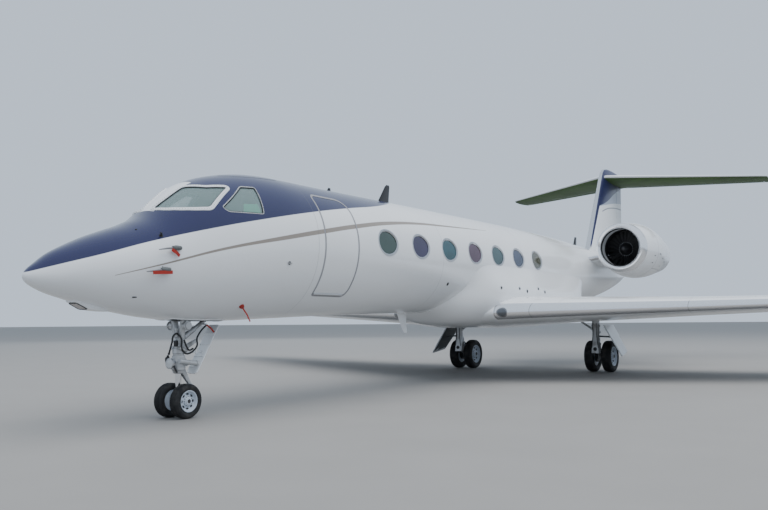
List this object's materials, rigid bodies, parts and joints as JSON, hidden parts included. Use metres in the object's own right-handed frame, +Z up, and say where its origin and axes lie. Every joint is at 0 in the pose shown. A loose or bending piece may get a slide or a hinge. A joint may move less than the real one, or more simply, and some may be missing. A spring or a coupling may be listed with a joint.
{
  "type": "twin-engine business jet with a T-tail, parked on its landing gear",
  "caption": "Long-range business jet: hollow cabin with oval windows and airstair door, swept wings with winglets, rear-mounted engines, T-tail and twin-wheel landing gear.",
  "frame": {"origin": "on the ground, at the middle of the bounding box", "axes": "+Z up, nose towards -Y, port side towards +X"},
  "size_m": [28.5134, 29.02, 7.43],
  "materials": {
    "white_paint_metal": "gloss",
    "white_paint_composite": "gloss",
    "navy_paint": "gloss",
    "wheel_metal": "satin",
    "gear_steel": "satin",
    "engine_metal": "satin",
    "window_glass": "gloss",
    "tyre_rubber": "matte",
    "black_composite": "satin",
    "panel_plastic": "matte",
    "seat_leather": "satin",
    "lining_composite": "matte",
    "carpet_floor": "matte"
  },
  "bodies": {
    "root": {"nose_radome": "navy_paint", "cockpit_shell": "white_paint_metal", "cabin_shell": "white_paint_metal", "aft_fuselage": "white_paint_metal", "belly_fairing": "white_paint_composite", "fin": "white_paint_metal", "stabiliser": "white_paint_metal", "cabin_floor": "carpet_floor", "cockpit_bulkhead": "lining_composite", "instrument_panel": "panel_plastic", "crown_aerial": "black_composite", "belly_aerial": "white_paint_composite", "nose_gear_leg": "gear_steel", "nose_gear_door": "white_paint_composite", "windscreen_left": "window_glass", "side_window_left": "window_glass", "cabin_glass_left": "window_glass", "pilot_seat_left": "seat_leather", "cabin_seats_left": "seat_leather", "wing_left": "white_paint_metal", "pylon_left": "white_paint_metal", "nacelle_left": "white_paint_composite", "engine_core_left": "engine_metal", "main_gear_leg_left": "gear_steel", "main_gear_door_left": "white_paint_composite", "windscreen_right": "window_glass", "side_window_right": "window_glass", "cabin_glass_right": "window_glass", "pilot_seat_right": "seat_leather", "cabin_seats_right": "seat_leather", "wing_right": "white_paint_metal", "pylon_right": "white_paint_metal", "nacelle_right": "white_paint_composite", "engine_core_right": "engine_metal", "main_gear_leg_right": "gear_steel", "main_gear_door_right": "white_paint_composite"},
    "entry_door": {"entry_door": "white_paint_metal"},
    "nose_steering": {"nose_steering": "gear_steel"},
    "nose_wheels": {"nose_hubs": "wheel_metal", "nose_tyre_left": "tyre_rubber", "nose_tyre_right": "tyre_rubber"},
    "main_wheels_left": {"main_hubs_left": "wheel_metal", "main_tyre_outer_left": "tyre_rubber", "main_tyre_inner_left": "tyre_rubber"},
    "fan_left": {"fan_left": "engine_metal"},
    "elevator_left": {"elevator_left": "white_paint_composite"},
    "aileron_left": {"aileron_left": "white_paint_composite"},
    "flap_inner_left": {"flap_inner_left": "white_paint_composite"},
    "flap_outer_left": {"flap_outer_left": "white_paint_composite"},
    "main_wheels_right": {"main_hubs_right": "wheel_metal", "main_tyre_outer_right": "tyre_rubber", "main_tyre_inner_right": "tyre_rubber"},
    "fan_right": {"fan_right": "engine_metal"},
    "elevator_right": {"elevator_right": "white_paint_composite"},
    "aileron_right": {"aileron_right": "white_paint_composite"},
    "flap_inner_right": {"flap_inner_right": "white_paint_composite"},
    "flap_outer_right": {"flap_outer_right": "white_paint_composite"},
    "rudder": {"rudder": "white_paint_composite"}
  },
  "joints": [
    {"name": "entry_door_hinge", "type": "hinge", "parent": "root", "child": "entry_door", "pos_m": [0.884, -9.24, 1.952], "axis": [0, 1, 0], "range_deg": [0, 140]},
    {"name": "nose_steer", "type": "hinge", "parent": "root", "child": "nose_steering", "pos_m": [0, -11.91, 0.68], "axis": [0, 0, 1], "range_deg": [-80, 80]},
    {"name": "nose_wheels_spin", "type": "hinge", "parent": "nose_steering", "child": "nose_wheels", "pos_m": [0, -11.91, 0.2665], "axis": [1, 0, 0], "continuous": true},
    {"name": "main_wheels_left_spin", "type": "hinge", "parent": "root", "child": "main_wheels_left", "pos_m": [2.185, 1.79, 0.4445], "axis": [1, 0, 0], "continuous": true},
    {"name": "main_wheels_right_spin", "type": "hinge", "parent": "root", "child": "main_wheels_right", "pos_m": [-2.185, 1.79, 0.4445], "axis": [1, 0, 0], "continuous": true},
    {"name": "fan_left_spin", "type": "hinge", "parent": "root", "child": "fan_left", "pos_m": [2.2, 4.62, 3.74], "axis": [0, 1, 0], "continuous": true},
    {"name": "fan_right_spin", "type": "hinge", "parent": "root", "child": "fan_right", "pos_m": [-2.2, 4.62, 3.74], "axis": [0, 1, 0], "continuous": true},
    {"name": "rudder_hinge", "type": "hinge", "parent": "root", "child": "rudder", "pos_m": [0, 10.34773, 4.02], "axis": [0, 0.1573, 0.9875], "range_deg": [-25, 25]},
    {"name": "elevator_left_hinge", "type": "hinge", "parent": "root", "child": "elevator_left", "pos_m": [0.33, 11.40602, 7.0329], "axis": [-0.8845, -0.4664, -0.0078], "range_deg": [-24, 13]},
    {"name": "elevator_right_hinge", "type": "hinge", "parent": "root", "child": "elevator_right", "pos_m": [-0.33, 11.40602, 7.0329], "axis": [-0.8845, 0.4664, 0.0078], "range_deg": [-24, 13]},
    {"name": "aileron_left_hinge", "type": "hinge", "parent": "root", "child": "aileron_left", "pos_m": [8.9, 3.12489, 1.88607], "axis": [-0.9552, -0.2944, -0.0293], "range_deg": [-20, 20]},
    {"name": "aileron_right_hinge", "type": "hinge", "parent": "root", "child": "aileron_right", "pos_m": [-8.9, 3.12489, 1.88607], "axis": [-0.9552, 0.2944, 0.0293], "range_deg": [-20, 20]},
    {"name": "flap_inner_left_hinge", "type": "hinge", "parent": "root", "child": "flap_inner_left", "pos_m": [1.57, 1.836, 1.55884], "axis": [-0.9926, -0.116, -0.0371], "range_deg": [0, 39]},
    {"name": "flap_inner_right_hinge", "type": "hinge", "parent": "root", "child": "flap_inner_right", "pos_m": [-1.57, 1.836, 1.55884], "axis": [-0.9926, 0.116, 0.0371], "range_deg": [0, 39]},
    {"name": "flap_outer_left_hinge", "type": "hinge", "parent": "root", "child": "flap_outer_left", "pos_m": [5.315, 2.279, 1.6987], "axis": [-0.978, -0.2065, -0.0298], "range_deg": [0, 39]},
    {"name": "flap_outer_right_hinge", "type": "hinge", "parent": "root", "child": "flap_outer_right", "pos_m": [-5.315, 2.279, 1.6987], "axis": [-0.978, 0.2065, 0.0298], "range_deg": [0, 39]}
  ],
  "couplings": [
    {"joint": "elevator_right_hinge", "follows": "elevator_left_hinge", "ratio": 1},
    {"joint": "aileron_right_hinge", "follows": "aileron_left_hinge", "ratio": -1},
    {"joint": "flap_outer_left_hinge", "follows": "flap_inner_left_hinge", "ratio": 1},
    {"joint": "flap_inner_right_hinge", "follows": "flap_inner_left_hinge", "ratio": 1},
    {"joint": "flap_outer_right_hinge", "follows": "flap_inner_left_hinge", "ratio": 1}
  ]
}
